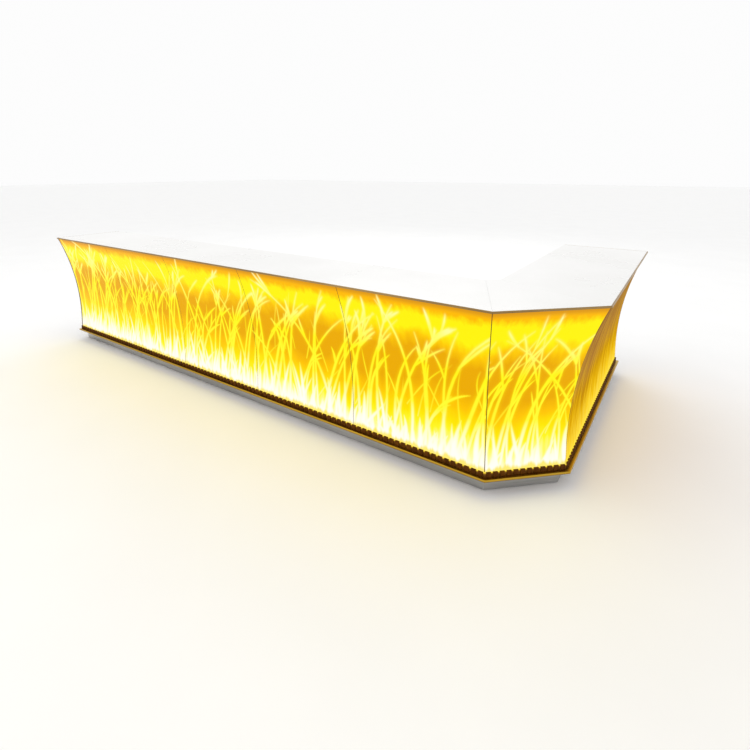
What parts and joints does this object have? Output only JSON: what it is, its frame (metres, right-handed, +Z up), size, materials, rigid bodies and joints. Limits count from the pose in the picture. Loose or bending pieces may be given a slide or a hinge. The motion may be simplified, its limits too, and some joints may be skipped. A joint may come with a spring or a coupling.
{
  "type": "illuminated bar counter",
  "caption": "L-shaped bar counter with back-lit curved front panels, chamfered corner, gold base nosing, thin white top, rear shelves, hinged doors and a light switch.",
  "frame": {"origin": "middle of the footprint box, on the floor", "axes": "+Z up; +X along the long run towards the chamfered corner; +Y from the customers' side of the long run to the serving side, along the return run"},
  "size_m": [4.938, 2.513, 1.1],
  "materials": {
    "lit_panel": "glossy translucent amber sheet, lit from behind",
    "seam_strip": "dark bronze jointing strip",
    "counter_sheet": "satin white solid surface",
    "bronze_trim": "dark bronze satin",
    "gold_nosing": "polished gold",
    "brown_band": "dark brown stained moulding with a row of small blocks",
    "kick_steel": "brushed",
    "plywood": "birch plywood",
    "bearer_steel": "black powder coat",
    "glide_nylon": "black nylon",
    "white_board": "white laminated board",
    "walnut": "satin walnut veneer",
    "steel_fitting": "satin nickel",
    "brass_knob": "polished brass",
    "led_aluminium": "anodised",
    "led_strip": "lit warm white strip",
    "driver_case": "extruded case",
    "grey_plastic": "light grey moulded",
    "black_plastic": "black moulded"
  },
  "bodies": {
    "counter": {"base_bearers": "bearer_steel", "base_deck": "plywood", "cable_trunking": "grey_plastic", "corner_base_band": "brown_band", "corner_counter_top": "counter_sheet", "corner_edge_trim": "bronze_trim", "corner_kick_plate": "kick_steel", "corner_nosing": "gold_nosing", "corner_panel": "lit_panel", "corner_post": "walnut", "counter_substrates": "plywood", "end_edge_trims": "bronze_trim", "end_panel_screws": "steel_fitting", "fixed_hinge_leaves": "steel_fitting", "floor_glides": "glide_nylon", "hinge_pins": "steel_fitting", "led_channels": "led_aluminium", "led_drivers": "driver_case", "led_strips": "led_strip", "left_end_panel": "walnut", "light_box_ribs": "plywood", "long_base_band": "brown_band", "long_counter_top": "counter_sheet", "long_dividers": "white_board", "long_edge_trim": "bronze_trim", "long_kick_plate": "kick_steel", "long_nosing": "gold_nosing", "long_panel_1": "lit_panel", "long_panel_2": "lit_panel", "long_panel_3": "lit_panel", "long_panel_4": "lit_panel", "long_panel_5": "lit_panel", "long_shelves": "white_board", "mains_terminal_box": "grey_plastic", "panel_seam_strips": "seam_strip", "rear_kick_plates": "kick_steel", "reflector_boards": "white_board", "return_base_band": "brown_band", "return_counter_top": "counter_sheet", "return_dividers": "white_board", "return_edge_trim": "bronze_trim", "return_end_panel": "walnut", "return_kick_plate": "kick_steel", "return_nosing": "gold_nosing", "return_panel_1": "lit_panel", "return_panel_2": "lit_panel", "return_panel_3": "lit_panel", "return_shelves": "white_board", "switch_housing": "black_plastic"},
    "cupboard_door_left": {"cupboard_door_left": "walnut", "cupboard_door_left_knob": "brass_knob", "cupboard_door_left_hinge_leaves": "steel_fitting"},
    "cupboard_door_right": {"cupboard_door_right": "walnut", "cupboard_door_right_knob": "brass_knob", "cupboard_door_right_hinge_leaves": "steel_fitting"},
    "service_door": {"service_door": "walnut", "service_door_knob": "brass_knob", "service_door_hinge_leaves": "steel_fitting"},
    "light_switch": {"switch_rocker": "black_plastic"}
  },
  "joints": [
    {"name": "cupboard_door_right_hinge", "type": "hinge", "parent": "counter", "child": "cupboard_door_right", "pos_m": [-0.68447, -0.62597, 0.6], "axis": [0, 0, 1], "range_deg": [0, 110]},
    {"name": "cupboard_door_left_hinge", "type": "hinge", "parent": "counter", "child": "cupboard_door_left", "pos_m": [0.16953, -0.62597, 0.6], "axis": [0, 0, -1], "range_deg": [0, 110]},
    {"name": "service_door_hinge", "type": "hinge", "parent": "counter", "child": "service_door", "pos_m": [1.83847, -0.07803, 0.6], "axis": [0, 0, -1], "range_deg": [0, 110]},
    {"name": "light_switch_rocker", "type": "hinge", "parent": "counter", "child": "light_switch", "pos_m": [1.80098, -0.58848, 0.96], "axis": [-0.7071, -0.7071, 0], "range_deg": [0, 16]}
  ]
}
